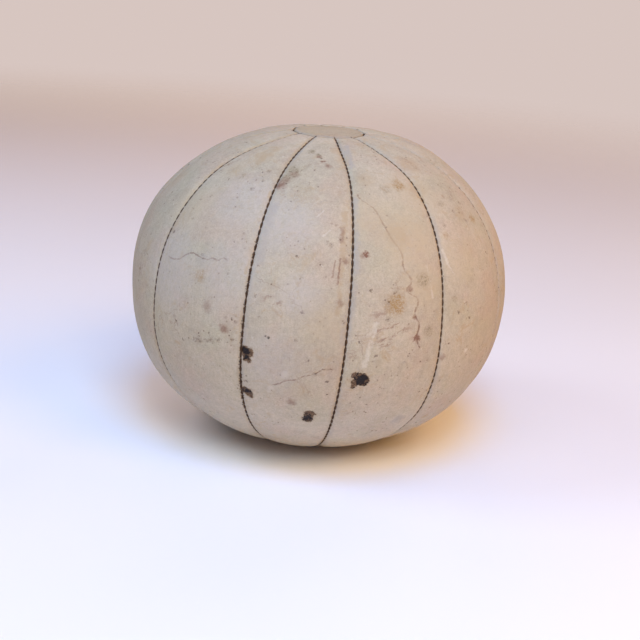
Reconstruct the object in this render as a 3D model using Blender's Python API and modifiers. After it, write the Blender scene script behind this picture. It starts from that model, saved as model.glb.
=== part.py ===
"""A hand-sewn leather medicine ball, standing on the patch that its own weight flattens.

Twelve leather gores run from pole to pole. Each one is lined with canvas and has its edges turned in. A twelve-sided
leather cap closes each pole, with one seam running to each corner. Waxed thread lies in the groove between the
pieces, and hair stuffing fills the whole inside.

Z is the polar axis and the floor is z = 0. Azimuth is measured from -Y towards +X, so the first seam faces -Y.
"""

import math

import bmesh
import bpy

# The outer skin, in metres. Its meridian is a superellipse above the widest height and another one below it.
EQUATOR_R = 0.150
WIDEST_HEIGHT = 0.118
CROWN_RISE = 0.132
CROWN_POWER = 2.25
BELLY_DROP = 0.123
BELLY_POWER = 2.10
FLOOR_BLEND = 0.0015  # the floor cuts the belly off at z = 0, through a blend this far above and below

# The cover
GORES = 12
CAP_R = 0.0286  # from the axis to a corner of the cap's seam
SEAM_GAP = 0.0024  # between two turned-in edges
LEATHER = 0.0030
EDGE_ROLL = 0.0014  # how far an edge is turned in under the skin
EDGE_SHOULDER = 0.00025  # how far it has dropped where the turn begins
EDGE_WIDTH = 0.0015  # from the edge to where the turn begins

# The thread in the grooves
THREAD_R = 0.0007
THREAD_DEPTH = 0.0012
THREAD_CLEARANCE = 0.0016  # from the cap's seam to where the long threads stop

# The lining stops short of the turned-in edges
LINING = 0.0008
LINING_DEPTH = LEATHER + 0.0006
LINING_MARGIN = 0.0032

STUFFING_DEPTH = LINING_DEPTH + LINING + 0.0003

# How finely the meridian is divided
ROW_ANGLES = [math.radians(-75.0 + 150.0 * i / 14) for i in range(15)]
POLE_ANGLE = math.radians(89.9)

GORE_SPAN = 2 * math.pi / GORES
HALF_SPAN = GORE_SPAN / 2


def azimuth(turn):
    """The angle about Z of this azimuth, for a piece that is built facing +X."""
    return turn - math.pi / 2


def meridian(angle):
    """Radius and height of the skin at this parameter angle: negative on the belly, positive on the crown."""
    power, reach = (CROWN_POWER, CROWN_RISE) if angle > 0 else (BELLY_POWER, BELLY_DROP)
    radius = EQUATOR_R * math.cos(angle) ** (2 / power)
    height = WIDEST_HEIGHT + math.copysign(reach * abs(math.sin(angle)) ** (2 / power), angle)
    if height < -FLOOR_BLEND:
        height = 0.0
    elif height < FLOOR_BLEND:
        height = (height + FLOOR_BLEND) ** 2 / (4 * FLOOR_BLEND)
    return radius, height


def under_skin(angle, depth):
    """Radius and height of the point this deep under the skin, square to it."""
    angle = max(-POLE_ANGLE, min(POLE_ANGLE, angle))
    radius, height = meridian(angle)
    if depth == 0:
        return radius, height
    low_r, low_z = meridian(angle - 1e-4)
    high_r, high_z = meridian(angle + 1e-4)
    run = math.hypot(high_r - low_r, high_z - low_z)
    return radius - depth * (high_z - low_z) / run, height + depth * (high_r - low_r) / run


def angle_where(reaches, side):
    """The parameter angle where reaches(radius) turns true, going from the equator to one pole (side 1 or -1)."""
    near, far = 0.0, POLE_ANGLE
    for _ in range(60):
        middle = (near + far) / 2
        if reaches(meridian(side * middle)[0]):
            far = middle
        else:
            near = middle
    return side * (near + far) / 2


def half_width(radius, gap):
    """Half the angle that a gore spans at this radius, with its edge this far from the seam's plane."""
    return HALF_SPAN - math.asin(gap / radius)


def end_angle(share, gap, side):
    """Where a gore ends against the straight side of the cap, at this share of its half width."""
    apothem = CAP_R * math.cos(HALF_SPAN) + gap
    return angle_where(lambda radius: radius * math.cos(share * half_width(radius, gap)) <= apothem, side)


def link(obj, parent):
    parts.objects.link(obj)
    obj.parent = parent
    return obj


def new_material(name, colour, roughness):
    material = bpy.data.materials.new(name)
    material.use_nodes = True
    shader = material.node_tree.nodes["Principled BSDF"]
    shader.inputs["Base Color"].default_value = (*colour, 1.0)
    shader.inputs["Roughness"].default_value = roughness
    shader.inputs["Metallic"].default_value = 0.0
    return material


def thickened(name, mesh, thickness, material, turn=0.0):
    """An object from an open sheet, given its thickness inwards and turned about Z."""
    obj = link(bpy.data.objects.new(name, mesh), ball)
    obj.rotation_euler.z = turn
    mesh.materials.append(material)
    solidify = obj.modifiers.new("thickness", "SOLIDIFY")
    solidify.thickness = thickness
    solidify.offset = -1.0
    solidify.use_even_offset = True
    bpy.context.view_layer.objects.active = obj
    bpy.ops.object.select_all(action="DESELECT")
    obj.select_set(True)
    bpy.ops.object.convert(target="MESH")
    obj.data.shade_smooth()
    obj.data.set_sharp_from_angle(angle=math.radians(50))
    return obj


def repeated(first, stem, numbers, step):
    """Copies of the first piece under numbered names, each turned one more step about Z."""
    for count, number in enumerate(numbers, start=1):
        copy = link(first.copy(), ball)
        copy.data = first.data.copy()
        copy.name = f"{stem}_{number:02d}"
        copy.rotation_euler.z = first.rotation_euler.z + count * step


def panel_mesh(name, gap, margin, depths, columns):
    """The open sheet of one gore-shaped panel that faces +X.

    gap is from the seam's plane to the panel's edge, and margin is how wide its turned-in edge is. depths are how deep
    the edge, its shoulder and the field lie under the skin. Each of columns is one lengthwise line: which side of the
    middle it is on, and either its distance from the edge ("edge") or its share of the field's half width ("field").
    """
    edge_depth, shoulder_depth, field_depth = depths
    rows = len(ROW_ANGLES) + (4 if margin else 2)
    across = len(columns)
    sheet = bmesh.new()
    bmesh.ops.create_grid(sheet, x_segments=across - 1, y_segments=rows - 1, size=1.0)
    for vertex in sheet.verts:
        column = round((vertex.co.x + 1) / 2 * (across - 1))
        row = round((vertex.co.y + 1) / 2 * (rows - 1))
        side, kind, amount = columns[column]
        from_end = min(row, rows - 1 - row)
        end = -1 if row < rows / 2 else 1
        share = 1.0 if kind == "edge" else amount
        rings = 2 if margin else 1
        if from_end < rings:
            angle = end_angle(share, gap, end)
            if from_end == 1:
                angle -= end * margin / EQUATOR_R
        else:
            angle = ROW_ANGLES[row - rings]
        radius = meridian(angle)[0]
        half = half_width(radius, gap)
        if kind == "edge":
            reach = half - amount / radius
            depth = edge_depth if amount == 0 else shoulder_depth
        else:
            reach = (half - margin / radius) * amount
            depth = field_depth
        if margin and from_end < 2:
            depth = max(depth, edge_depth if from_end == 0 else shoulder_depth)
        radius, height = under_skin(angle, depth)
        vertex.co = (radius * math.cos(side * reach), radius * math.sin(side * reach), height)
    bmesh.ops.recalc_face_normals(sheet, faces=sheet.faces)
    outward = sum(face.normal.x * face.calc_area() for face in sheet.faces)
    if outward < 0:
        bmesh.ops.reverse_faces(sheet, faces=sheet.faces)
    mesh = bpy.data.meshes.new(name)
    sheet.to_mesh(mesh)
    sheet.free()
    return mesh


def cap_mesh(name, gap, rings, side):
    """The open twelve-sided sheet of a cap on one pole. Each of rings is (distance in from its edge, depth)."""
    apothem = CAP_R * math.cos(HALF_SPAN) - gap
    disc = bmesh.new()
    profile = [disc.verts.new((reach, 0.0, 0.0)) for reach in range(len(rings))]
    edges = [disc.edges.new(pair) for pair in zip(profile, profile[1:])]
    bmesh.ops.spin(
        disc,
        geom=profile + edges,
        cent=(0, 0, 0),
        axis=(0, 0, 1),
        angle=2 * math.pi,
        steps=2 * GORES,
        use_merge=True,
    )
    bmesh.ops.remove_doubles(disc, verts=disc.verts, dist=1e-5)
    for vertex in disc.verts:
        ring = round(math.hypot(vertex.co.x, vertex.co.y))
        turn = math.atan2(vertex.co.y, vertex.co.x)
        within = (turn + HALF_SPAN) % GORE_SPAN - HALF_SPAN  # from the middle of the side it belongs to
        inset, depth = rings[ring]
        if ring == 0:
            radius = 0.0
        elif ring < len(rings) - 2:
            radius = apothem - inset
        else:
            radius = (apothem - inset) / math.cos(within)
        angle = angle_where(lambda skin: skin <= radius, side)
        height = under_skin(angle, depth)[1]
        vertex.co = (radius * math.cos(turn), radius * math.sin(turn), height)
    bmesh.ops.recalc_face_normals(disc, faces=disc.faces)
    if side * sum(face.normal.z * face.calc_area() for face in disc.faces) < 0:
        bmesh.ops.reverse_faces(disc, faces=disc.faces)
    mesh = bpy.data.meshes.new(name)
    disc.to_mesh(mesh)
    disc.free()
    return mesh


def thread(name, points, material, closed, turn=0.0):
    """A round thread along these points."""
    curve = bpy.data.curves.new(name, "CURVE")
    curve.dimensions = "3D"
    curve.bevel_depth = THREAD_R
    curve.bevel_resolution = 1
    curve.use_fill_caps = not closed
    spline = curve.splines.new("POLY")
    spline.points.add(len(points) - 1)
    for spot, point in zip(spline.points, points):
        spot.co = (*point, 1.0)
    spline.use_cyclic_u = closed
    spline.use_smooth = True
    curve.materials.append(material)
    obj = link(bpy.data.objects.new(name, curve), ball)
    obj.rotation_euler.z = turn
    return obj


def long_thread_points():
    """The thread of one meridional seam, from the lower cap's seam to the upper one's, in the plane y = 0."""
    stop = CAP_R + THREAD_CLEARANCE
    ends = [angle_where(lambda radius: radius <= stop, side) for side in (-1, 1)]
    angles = [ends[0], *ROW_ANGLES, ends[1]]
    return [(radius, 0.0, height) for radius, height in (under_skin(angle, THREAD_DEPTH) for angle in angles)]


def cap_thread_points(side):
    """The thread round a cap: a twelve-sided ring with its corners on the long seams."""
    points = []
    for i in range(2 * GORES):
        turn = i * HALF_SPAN
        radius = CAP_R if i % 2 else CAP_R * math.cos(HALF_SPAN)
        angle = angle_where(lambda skin: skin <= radius, side)
        height = under_skin(angle, THREAD_DEPTH)[1]
        points.append((radius * math.cos(turn), radius * math.sin(turn), height))
    return points


def stuffing_mesh(name):
    """The outer side of the stuffing, top to bottom, for a Screw modifier to turn."""
    angles = [end_angle(1.0, SEAM_GAP / 2, -1), *ROW_ANGLES, end_angle(1.0, SEAM_GAP / 2, 1)]
    outline = [under_skin(angle, STUFFING_DEPTH) for angle in reversed(angles)]
    top = WIDEST_HEIGHT + CROWN_RISE - STUFFING_DEPTH
    outline = [(0.0, top), *outline, (0.0, STUFFING_DEPTH)]
    mesh = bpy.data.meshes.new(name)
    mesh.from_pydata([(x, 0.0, z) for x, z in outline], [(i, i + 1) for i in range(len(outline) - 1)], [])
    return mesh


for old in list(bpy.data.objects):
    bpy.data.objects.remove(old)

parts = bpy.data.collections.new("medicine_ball")
bpy.context.scene.collection.children.link(parts)
ball = bpy.data.objects.new("medicine_ball_frame", None)
parts.objects.link(ball)

gore_leather = new_material("gore_leather", (0.62, 0.55, 0.47), 0.78)
cap_leather = new_material("cap_leather", (0.58, 0.51, 0.41), 0.80)
waxed_thread = new_material("waxed_thread", (0.055, 0.035, 0.025), 0.60)
canvas = new_material("canvas_lining", (0.52, 0.45, 0.34), 0.92)
hair = new_material("hair_stuffing", (0.20, 0.14, 0.09), 0.95)

first_seam = azimuth(0.0)
first_gore = azimuth(HALF_SPAN)

# Leather gores: seven lengthwise lines, of which the outer two on each side make the turned-in edge
gore_lines = [
    (-1, "edge", 0.0),
    (-1, "edge", EDGE_WIDTH),
    (-1, "field", 0.5),
    (0, "field", 0.0),
    (1, "field", 0.5),
    (1, "edge", EDGE_WIDTH),
    (1, "edge", 0.0),
]
gore_sheet = panel_mesh("gore_01", SEAM_GAP / 2, EDGE_WIDTH, (EDGE_ROLL, EDGE_SHOULDER, 0.0), gore_lines)
gore = thickened("gore_01", gore_sheet, LEATHER, gore_leather, first_gore)
repeated(gore, "gore", range(2, GORES + 1), GORE_SPAN)

# Canvas lining behind each gore
lining_gap = SEAM_GAP / 2 + LINING_MARGIN
lining_lines = [(-1, "field", 1.0), (0, "field", 0.0), (1, "field", 1.0)]
lining_sheet = panel_mesh("lining_01", lining_gap, 0.0, (LINING_DEPTH, LINING_DEPTH, LINING_DEPTH), lining_lines)
lining = thickened("lining_01", lining_sheet, LINING, canvas, first_gore)
repeated(lining, "lining", range(2, GORES + 1), GORE_SPAN)

# A cap and its lining at each pole
cap_rings = [(0.0, 0.0), (CAP_R / 2, 0.0), (EDGE_WIDTH, EDGE_SHOULDER), (0.0, EDGE_ROLL)]
lining_rings = [(0.0, LINING_DEPTH), (CAP_R / 2, LINING_DEPTH), (0.0, LINING_DEPTH)]
for end, side in (("top", 1), ("bottom", -1)):
    cap_sheet = cap_mesh(f"cap_{end}", SEAM_GAP / 2, cap_rings, side)
    thickened(f"cap_{end}", cap_sheet, LEATHER, cap_leather, first_gore)
    backing_sheet = cap_mesh(f"cap_lining_{end}", lining_gap, lining_rings, side)
    thickened(f"cap_lining_{end}", backing_sheet, LINING, canvas, first_gore)
    thread(f"cap_thread_{end}", cap_thread_points(side), waxed_thread, True, first_gore)

# Eleven seams sewn before stuffing, and the last one, which is closed from outside after it
seam_points = long_thread_points()
for number in range(1, GORES):
    turn = first_seam + (number - 1) * GORE_SPAN
    thread(f"seam_thread_{number:02d}", seam_points, waxed_thread, False, turn)
thread("closing_thread", seam_points, waxed_thread, False, first_seam + (GORES - 1) * GORE_SPAN)

# Stuffing: one firm body that fills the lining
stuffing = link(bpy.data.objects.new("stuffing", stuffing_mesh("stuffing")), ball)
stuffing.rotation_euler.z = first_gore
stuffing.data.materials.append(hair)
turned = stuffing.modifiers.new("turned", "SCREW")
turned.axis = "Z"
turned.steps = 2 * GORES
turned.render_steps = 2 * GORES
turned.use_merge_vertices = True
turned.merge_threshold = 0.00001
turned.use_smooth_shade = True
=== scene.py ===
import math

import bmesh
import bpy
import numpy as np
from mathutils import Matrix, Vector, noise


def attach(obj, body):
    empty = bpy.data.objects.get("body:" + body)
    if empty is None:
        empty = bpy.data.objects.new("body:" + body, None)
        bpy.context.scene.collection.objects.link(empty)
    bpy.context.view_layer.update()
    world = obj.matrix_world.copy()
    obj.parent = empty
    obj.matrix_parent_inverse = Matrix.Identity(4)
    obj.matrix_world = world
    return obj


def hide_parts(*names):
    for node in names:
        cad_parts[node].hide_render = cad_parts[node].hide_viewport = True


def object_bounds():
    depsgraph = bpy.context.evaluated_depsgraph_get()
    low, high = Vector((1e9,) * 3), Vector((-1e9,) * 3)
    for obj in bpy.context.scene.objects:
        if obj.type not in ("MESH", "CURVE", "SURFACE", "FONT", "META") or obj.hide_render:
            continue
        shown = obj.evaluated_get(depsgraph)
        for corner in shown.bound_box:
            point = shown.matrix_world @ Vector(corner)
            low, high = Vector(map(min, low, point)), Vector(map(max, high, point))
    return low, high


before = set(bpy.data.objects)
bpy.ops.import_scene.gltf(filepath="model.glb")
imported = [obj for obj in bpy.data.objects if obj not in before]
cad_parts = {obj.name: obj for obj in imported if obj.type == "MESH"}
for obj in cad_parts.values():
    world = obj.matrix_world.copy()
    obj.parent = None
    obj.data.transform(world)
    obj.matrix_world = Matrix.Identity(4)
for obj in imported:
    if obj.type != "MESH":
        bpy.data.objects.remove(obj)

# Looks of the hand-sewn leather medicine ball. Lengths are in metres unless a name ends in _MM, angles in
# radians unless it ends in _DEG. Azimuth is measured from -Y towards +X, as in the solids.

cad_low, cad_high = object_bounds()

# -------------------- the ball's shape
EQUATOR_R = 0.150
WIDEST_HEIGHT = 0.118
CROWN_RISE = cad_high.z - WIDEST_HEIGHT
CROWN_POWER = 2.25
BELLY_DROP = 0.123
BELLY_POWER = 2.10
FLOOR_BLEND = 0.0015
GORES = 12
CAP_R = 0.0286
LEATHER = 0.0030
LINING = 0.0008
STITCH = 0.0057
SEAM_SINK = 0.0009  # the seams hold the cover back while the packing swells it between them
FLOOR_SINK = 0.16  # the share of it that is left where the ball rests
GAP = 0.0004  # between two layers
SET_BACK = 0.0012  # how far a panel's inner face stops short of its edge
AXIS_R = 1e-4  # next to the axis
STEEPEST = math.pi / 2 - 1e-3
CAP_SHIFT = (-0.003, -0.010)  # the top cap is sewn a little off the axis
CAP_SHIFT_FROM = 0.110
CAP_SHIFT_TO = 0.040

# Each long seam wanders: degrees off its even place at the widest height, then by how much it leans and bows
SEAM_WANDER_DEG = [
    (-0.1, 1.3, 0.3), (-0.6, -1, 3.5), (2, 0.6, 0), (0.8, -0.9, -1.2), (-1.2, 0.5, 1),
    (0.4, 1.1, -0.8), (1.3, -0.6, 0.9), (-0.7, 0.8, 1.4), (-1.5, -1, -0.6), (0.6, 0.4, 1.1),
    (-3.9, 0, 3.5), (1, 1.4, -1.4),
]

# Burns, each made of round parts that run together: azimuth in degrees, height in mm, radius in mm,
# and how black
SCORCHES = [
    [(-27.8, 104.4, 4.2, 1), (-26.7, 103.8, 3.8, 0), (-27.6, 99.4, 3.2, 0.5), (-26.8, 98, 2.4, 0)],
    [(-28, 71.4, 3.9, 0.9), (-27.2, 69.6, 3.2, 0.3), (-26.6, 67.6, 1.6, 0.2)],
    [(-8.6, 58.6, 4.3, 0), (-8.9, 54.3, 4.4, 0.9), (-6.7, 58, 1.2, 0)],
    [(5.6, 90.3, 5.2, 1), (4.2, 93, 3.6, 0.7), (3.6, 88.4, 3, 0)]
    + [(3.4, 86, 2.2, 0), (3.2, 84.2, 1.5, 0), (3, 94, 2.2, 0)],
]

# Where the ball has slumped: azimuth in degrees, height in mm, then reach and depth
SLUMPS = [(-118.0, 222.0, 0.055, 0.0034), (172.0, 245.0, 0.045, 0.0012)]

CAMERA_PLACE = (-0.1537, -0.9764, 0.3789)
CAMERA_TARGET = (0.0025, -0.0086, 0.0931)
CAMERA_ROLL_DEG = 4.607
CAMERA_LENS = 70.3


def smooth(value):
    value = np.clip(value, 0.0, 1.0)
    return value * value * (3 - 2 * value)


# -------------------- camera
def make_camera():
    data = bpy.data.cameras.new("camera")
    data.lens = CAMERA_LENS
    data.sensor_width = 36.0
    data.clip_start = 0.01
    data.clip_end = 100.0
    camera = bpy.data.objects.new("camera", data)
    bpy.context.scene.collection.objects.link(camera)
    place, target = Vector(CAMERA_PLACE), Vector(CAMERA_TARGET)
    aim = (target - place).to_track_quat("-Z", "Y")
    roll = Matrix.Rotation(math.radians(CAMERA_ROLL_DEG), 4, "Z")
    camera.matrix_world = Matrix.Translation(place) @ aim.to_matrix().to_4x4() @ roll
    bpy.context.scene.camera = camera


make_camera()


# -------------------- skin
def meridian(angle):
    """Radius and height of the even skin at these parameter angles."""
    angle = np.asarray(angle, float)
    up = angle > 0
    power = np.where(up, CROWN_POWER, BELLY_POWER)
    reach = np.where(up, CROWN_RISE, BELLY_DROP)
    radius = EQUATOR_R * np.cos(angle) ** (2 / power)
    height = WIDEST_HEIGHT + np.sign(angle) * reach * np.abs(np.sin(angle)) ** (2 / power)
    blend = (height + FLOOR_BLEND) ** 2 / (4 * FLOOR_BLEND)
    height = np.where(height < -FLOOR_BLEND, 0.0, np.where(height < FLOOR_BLEND, blend, height))
    return radius, height


def angle_at(radius, up):
    """The parameter angle where the skin has this radius, above or below the widest height."""
    power = CROWN_POWER if up else BELLY_POWER
    angle = np.arccos(np.clip(np.asarray(radius, float) / EQUATOR_R, 0, 1) ** (power / 2))
    return angle if up else -angle


ARC_ANGLES = np.linspace(-STEEPEST, STEEPEST, 6001)
_arc_r, _arc_z = meridian(ARC_ANGLES)
ARC = np.concatenate([[0.0], np.cumsum(np.hypot(np.diff(_arc_r), np.diff(_arc_z)))])


def arc_of(angle):
    return np.interp(angle, ARC_ANGLES, ARC)


def angle_of(arc):
    return np.interp(arc, ARC, ARC_ANGLES)


def seam_azimuth(seam, angle):
    """Where this seam runs at these parameter angles."""
    drift, lean, bow = SEAM_WANDER_DEG[seam % GORES]
    part = np.sin(angle) / math.sin(math.radians(60))
    return math.radians(30.0) * seam + np.radians(drift + lean * part + bow * part * part)


SLOW_LUMP = 0.0006
QUICK_LUMP = 0.00026


def lumps(points):
    """How far the packing pushes the skin out or lets it in at these points."""
    flat = points.reshape(-1, 3)
    found = np.empty(len(flat))
    for i, p in enumerate(flat):
        slow = noise.noise(Vector((p[0] * 11 + 3.1, p[1] * 11 - 1.7, p[2] * 11 + 0.4)))
        quick = noise.noise(Vector((p[0] * 34 - 5.2, p[1] * 34 + 2.9, p[2] * 34 + 7.7)))
        found[i] = SLOW_LUMP * slow + QUICK_LUMP * quick
    found = found.reshape(points.shape[:-1]) * smooth(points[..., 2] / 0.02)
    for azimuth, height_mm, reach, depth in SLUMPS:
        away = np.linalg.norm(points - on_skin(azimuth, height_mm), axis=-1)
        found -= depth * np.exp(-((away / reach) ** 2))
    return found


NEXT_TO = 2e-4  # the difference of angle that a slope is read over


def ground(azimuth, angle):
    """The even skin's points and outward normals under this place of the sewing pattern."""
    azimuth, angle = np.broadcast_arrays(np.asarray(azimuth, float), np.asarray(angle, float))
    radius, _ = meridian(angle)
    x, y = radius * np.sin(azimuth), -radius * np.cos(azimuth)
    share = smooth((CAP_SHIFT_FROM - radius) / (CAP_SHIFT_FROM - CAP_SHIFT_TO)) * (angle > 0)
    x, y = x + CAP_SHIFT[0] * share, y + CAP_SHIFT[1] * share
    moved = np.hypot(x, y)
    angle = np.where(share > 0, angle_at(moved, True), angle)
    angle = np.clip(angle, -STEEPEST, STEEPEST)
    radius, height = meridian(angle)
    low_r, low_z = meridian(angle - NEXT_TO)
    high_r, high_z = meridian(angle + NEXT_TO)
    run = np.hypot(high_r - low_r, high_z - low_z)
    out, up = (high_z - low_z) / run, -(high_r - low_r) / run
    around = np.maximum(moved, 1e-9)
    point = np.stack([x, y, height], -1)
    normal = np.stack([x / around * out, y / around * out, up], -1)
    return point, normal


def pits(points):
    """Burnt leather has shrunk into a shallow pit with a raised rim."""
    sunk = np.zeros(points.shape[:-1])
    for parts in SCORCH_PARTS:
        away = np.full(points.shape[:-1], 9.0)
        for centre, radius in parts:
            away = np.minimum(away, (np.linalg.norm(points - centre, axis=-1) - radius) / PIT_SLOPE)
        sunk += PIT_DEPTH * smooth(-away) - PIT_RIM * np.exp(-((away - 0.3) ** 2) / 0.25)
    return sunk


def skin(azimuth, angle, depth=0.0):
    """Points this deep under the real skin, at this place of the sewing pattern."""
    point, normal = ground(azimuth, angle)
    sink = SEAM_SINK * (FLOOR_SINK + (1 - FLOOR_SINK) * smooth(point[..., 2] / FLOOR_BLEND))
    push = swell(azimuth, angle) - sink + lumps(point) - pits(point) - depth
    return point + normal * push[..., None]


def on_skin(azimuth_deg, height_mm):
    """The point of the even skin at this azimuth and height."""
    heights = meridian(ARC_ANGLES)[1]
    angle = np.interp(height_mm / 1000, heights[heights > 0], ARC_ANGLES[heights > 0])
    radius, height = meridian(angle)
    turn = math.radians(azimuth_deg)
    return np.array([radius * math.sin(turn), -radius * math.cos(turn), float(height)])


PIT_DEPTH = 0.00050
PIT_RIM = 0.00022
PIT_SLOPE = 0.0011
SCORCH_PARTS = [[(on_skin(a, h), r / 1000) for a, h, r, _ in parts] for parts in SCORCHES]

# -------------------- swollen cover
# The sewn cover is simulated as cloth with pressure inside: the seams are held and the panels swell between.
COVER_COLUMNS = 12  # of each gore
COVER_ROWS = 52
COVER_CAP_ROWS = 4
COVER_FRAMES = 8
COVER_PRESSURE = 900.0
COVER_GROWTH = 0.006  # the panels are cut this much larger than the even shape
MOST_SWELL = 0.0032
CAP_ANGLES = {True: float(angle_at(CAP_R, True)), False: float(angle_at(CAP_R, False))}


def cover_arcs():
    """The arcs of the cover's rows, from the bottom to the top. The caps' seams are among them."""
    low, high = (float(arc_of(CAP_ANGLES[up])) for up in (False, True))
    start, end = (float(arc_of(angle_at(0.004, up))) for up in (False, True))
    below = np.linspace(start, low, COVER_CAP_ROWS + 1)[:-1]
    above = np.linspace(high, end, COVER_CAP_ROWS + 1)[1:]
    return np.concatenate([below, np.linspace(low, high, COVER_ROWS), above])


def round_quads(rows, columns):
    """Corner numbers of a grid that runs right round, the next ones beside them, and its quads."""
    index = np.arange(rows * columns).reshape(rows, columns)
    beside = np.roll(index, -1, axis=1)
    return index, beside, np.stack([index[:-1], beside[:-1], beside[1:], index[1:]], -1).reshape(-1, 4)


def cover_mesh(points):
    """A closed mesh from the grid of points, which runs right round, with a point at each end."""
    rows, columns = points.shape[:2]
    index, beside, quads = round_quads(rows, columns)
    faces = quads.tolist()
    corners = points.reshape(-1, 3).tolist()
    for row in (0, rows - 1):
        hub = len(corners)
        corners.append(points[row].mean(axis=0).tolist())
        for a, b in zip(index[row].tolist(), beside[row].tolist()):
            faces.append([b, a, hub] if row == 0 else [a, b, hub])
    mesh = bpy.data.meshes.new("cover")
    mesh.from_pydata(corners, [], faces)
    return mesh


def packing(point):
    """How hard the packing presses here, as a share of the full pressure."""
    return 0.72 + 0.5 * noise.noise(Vector(point) * 13 + Vector((3.1, -1.7, 0.4)))


def swollen_cover():
    """How far the pressed cover stands off the even shape at each point of the cover's grid."""
    angle = angle_of(cover_arcs())
    share = np.arange(COVER_COLUMNS) / COVER_COLUMNS
    sides = [seam_azimuth(seam, angle)[:, None] for seam in range(GORES + 1)]
    azimuth = np.concatenate([a * (1 - share) + b * share for a, b in zip(sides, sides[1:])], axis=1)
    points, normals = ground(azimuth, angle[:, None])
    cover = bpy.data.objects.new("cover", cover_mesh(points))
    bpy.context.scene.collection.objects.link(cover)
    held = np.zeros(points.shape[:2], bool)
    first, last = COVER_CAP_ROWS, COVER_CAP_ROWS + COVER_ROWS - 1
    held[first : last + 1, ::COVER_COLUMNS] = True
    held[first] = held[last:] = True  # the top cap lies flat
    held |= points[..., 2] < FLOOR_BLEND
    sewn = cover.vertex_groups.new(name="sewn")
    sewn.add(np.flatnonzero(held).tolist() + [held.size], 1.0, "REPLACE")
    pressed = cover.vertex_groups.new(name="pressed")
    for i, point in enumerate(points.reshape(-1, 3)):
        pressed.add([i], min(max(packing(point), 0.1), 1.0), "REPLACE")
    cloth = cover.modifiers.new("cloth", "CLOTH")
    settings = cloth.settings
    settings.quality = 6
    settings.mass = 0.3
    settings.tension_stiffness = settings.compression_stiffness = 15.0
    settings.shear_stiffness = 7.5
    settings.bending_stiffness = 2.0
    settings.air_damping = 2.0
    settings.tension_damping = settings.compression_damping = settings.shear_damping = 15.0
    settings.shrink_min = -COVER_GROWTH
    settings.use_pressure = True
    settings.uniform_pressure_force = COVER_PRESSURE
    settings.vertex_group_pressure = "pressed"
    settings.vertex_group_mass = "sewn"
    settings.effector_weights.gravity = 0.0
    cloth.collision_settings.use_collision = False
    for frame_number in range(1, COVER_FRAMES + 1):
        bpy.context.scene.frame_set(frame_number)
    result = cover.evaluated_get(bpy.context.evaluated_depsgraph_get()).to_mesh()
    moved = np.empty(len(result.vertices) * 3, np.float32)
    result.vertices.foreach_get("co", moved)
    moved = moved.reshape(-1, 3)[: held.size].reshape(points.shape)
    bpy.data.objects.remove(cover)
    bpy.context.scene.frame_set(1)
    return np.clip(((moved - points) * normals).sum(axis=-1), 0.0, MOST_SWELL)


def cubic_weights(part):
    """Catmull-Rom weights of the four grid points round a place this far between the middle two."""
    square, cube = part * part, part * part * part
    return [
        (2 * square - part - cube) / 2,
        (3 * cube - 5 * square + 2) / 2,
        (part + 4 * square - 3 * cube) / 2,
        (cube - square) / 2,
    ]


def swell(azimuth, angle):
    """The pressed cover's stand-off at any place of the sewing pattern."""
    azimuth, angle = np.broadcast_arrays(np.asarray(azimuth, float), np.asarray(angle, float))
    sides = [seam_azimuth(seam, angle) for seam in range(GORES + 1)]
    turn = np.mod(azimuth - sides[0], 2 * math.pi) + sides[0]
    gore = sum((turn >= side).astype(int) for side in sides[1:GORES])
    stacked = np.stack([*sides[:GORES], sides[0] + 2 * math.pi])
    left = np.take_along_axis(stacked, gore[None], 0)[0]
    right = np.take_along_axis(stacked, gore[None] + 1, 0)[0]
    column = (gore + np.clip((turn - left) / (right - left), 0, 1)) * COVER_COLUMNS
    rows = len(COVER_ARCS)
    row = np.clip(np.interp(arc_of(angle), COVER_ARCS, np.arange(rows)), 0, rows - 1)
    base_row, base_column = np.minimum(row.astype(int), rows - 2), column.astype(int)
    found = np.zeros(azimuth.shape)
    across = cubic_weights(column - base_column)
    for i, weight in enumerate(cubic_weights(row - base_row)):
        at_row = np.clip(base_row + i - 1, 0, rows - 1)
        for j, other in enumerate(across):
            found += weight * other * COVER[at_row, (base_column + j - 1) % COVER.shape[1]]
    return found


COVER_ARCS = cover_arcs()
COVER = swollen_cover()

# -------------------- sewn edges
# A turned-in edge in section, from deep in the groove to the open skin: distance from the seam, and depth
EDGE_MM = [
    (0.6, 2.7), (0.5, 2), (0.46, 1.4), (0.5, 0.92), (0.66, 0.56), (0.94, 0.28), (1.38, 0.08),
    (2, -0.06), (2.9, -0.13), (4.2, -0.07), (6.2, 0),
]
EDGE_AWAY = np.array([away for away, _ in EDGE_MM]) / 1000
EDGE_DEPTH = np.array([depth for _, depth in EDGE_MM]) / 1000
# How dark the grime and the painted shade in the groove are at each of those places
EDGE_DIRT_AND_SHADE = np.array([1.0, 1.0, 1.0, 0.95, 0.66, 0.26, 0.10, 0.05, 0.02, 0.0, 0.0])
CAP_DIRT_AND_SHADE = 0.48  # the caps' seams are cleaner, with less painted shade
PINCH = 0.00052
TIGHT = 0.00024  # how much closer the edges lie near the caps
ROWS_PER_STITCH = 6
RIM = len(EDGE_MM)


def arcs_at(radius):
    """The arcs at the bottom and at the top where the skin has this radius."""
    return [float(arc_of(angle_at(radius, up))) for up in (False, True)]


def stitch_turns(arc, seam):
    """How many stitches lie below this arc on a seam."""
    drift = 0.35 * np.sin(arc * 140 + seam * 1.9) + 0.25 * np.sin(arc * 61 + seam * 0.7)
    return arc / STITCH + (seam % GORES * 2.4 + drift) / (2 * math.pi)


def beat(arc, seam):
    """Runs 1, -1, 1 along a seam: 1 in the middle of a stitch, -1 where the thread dives in."""
    return np.cos(2 * math.pi * stitch_turns(arc, seam))


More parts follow.
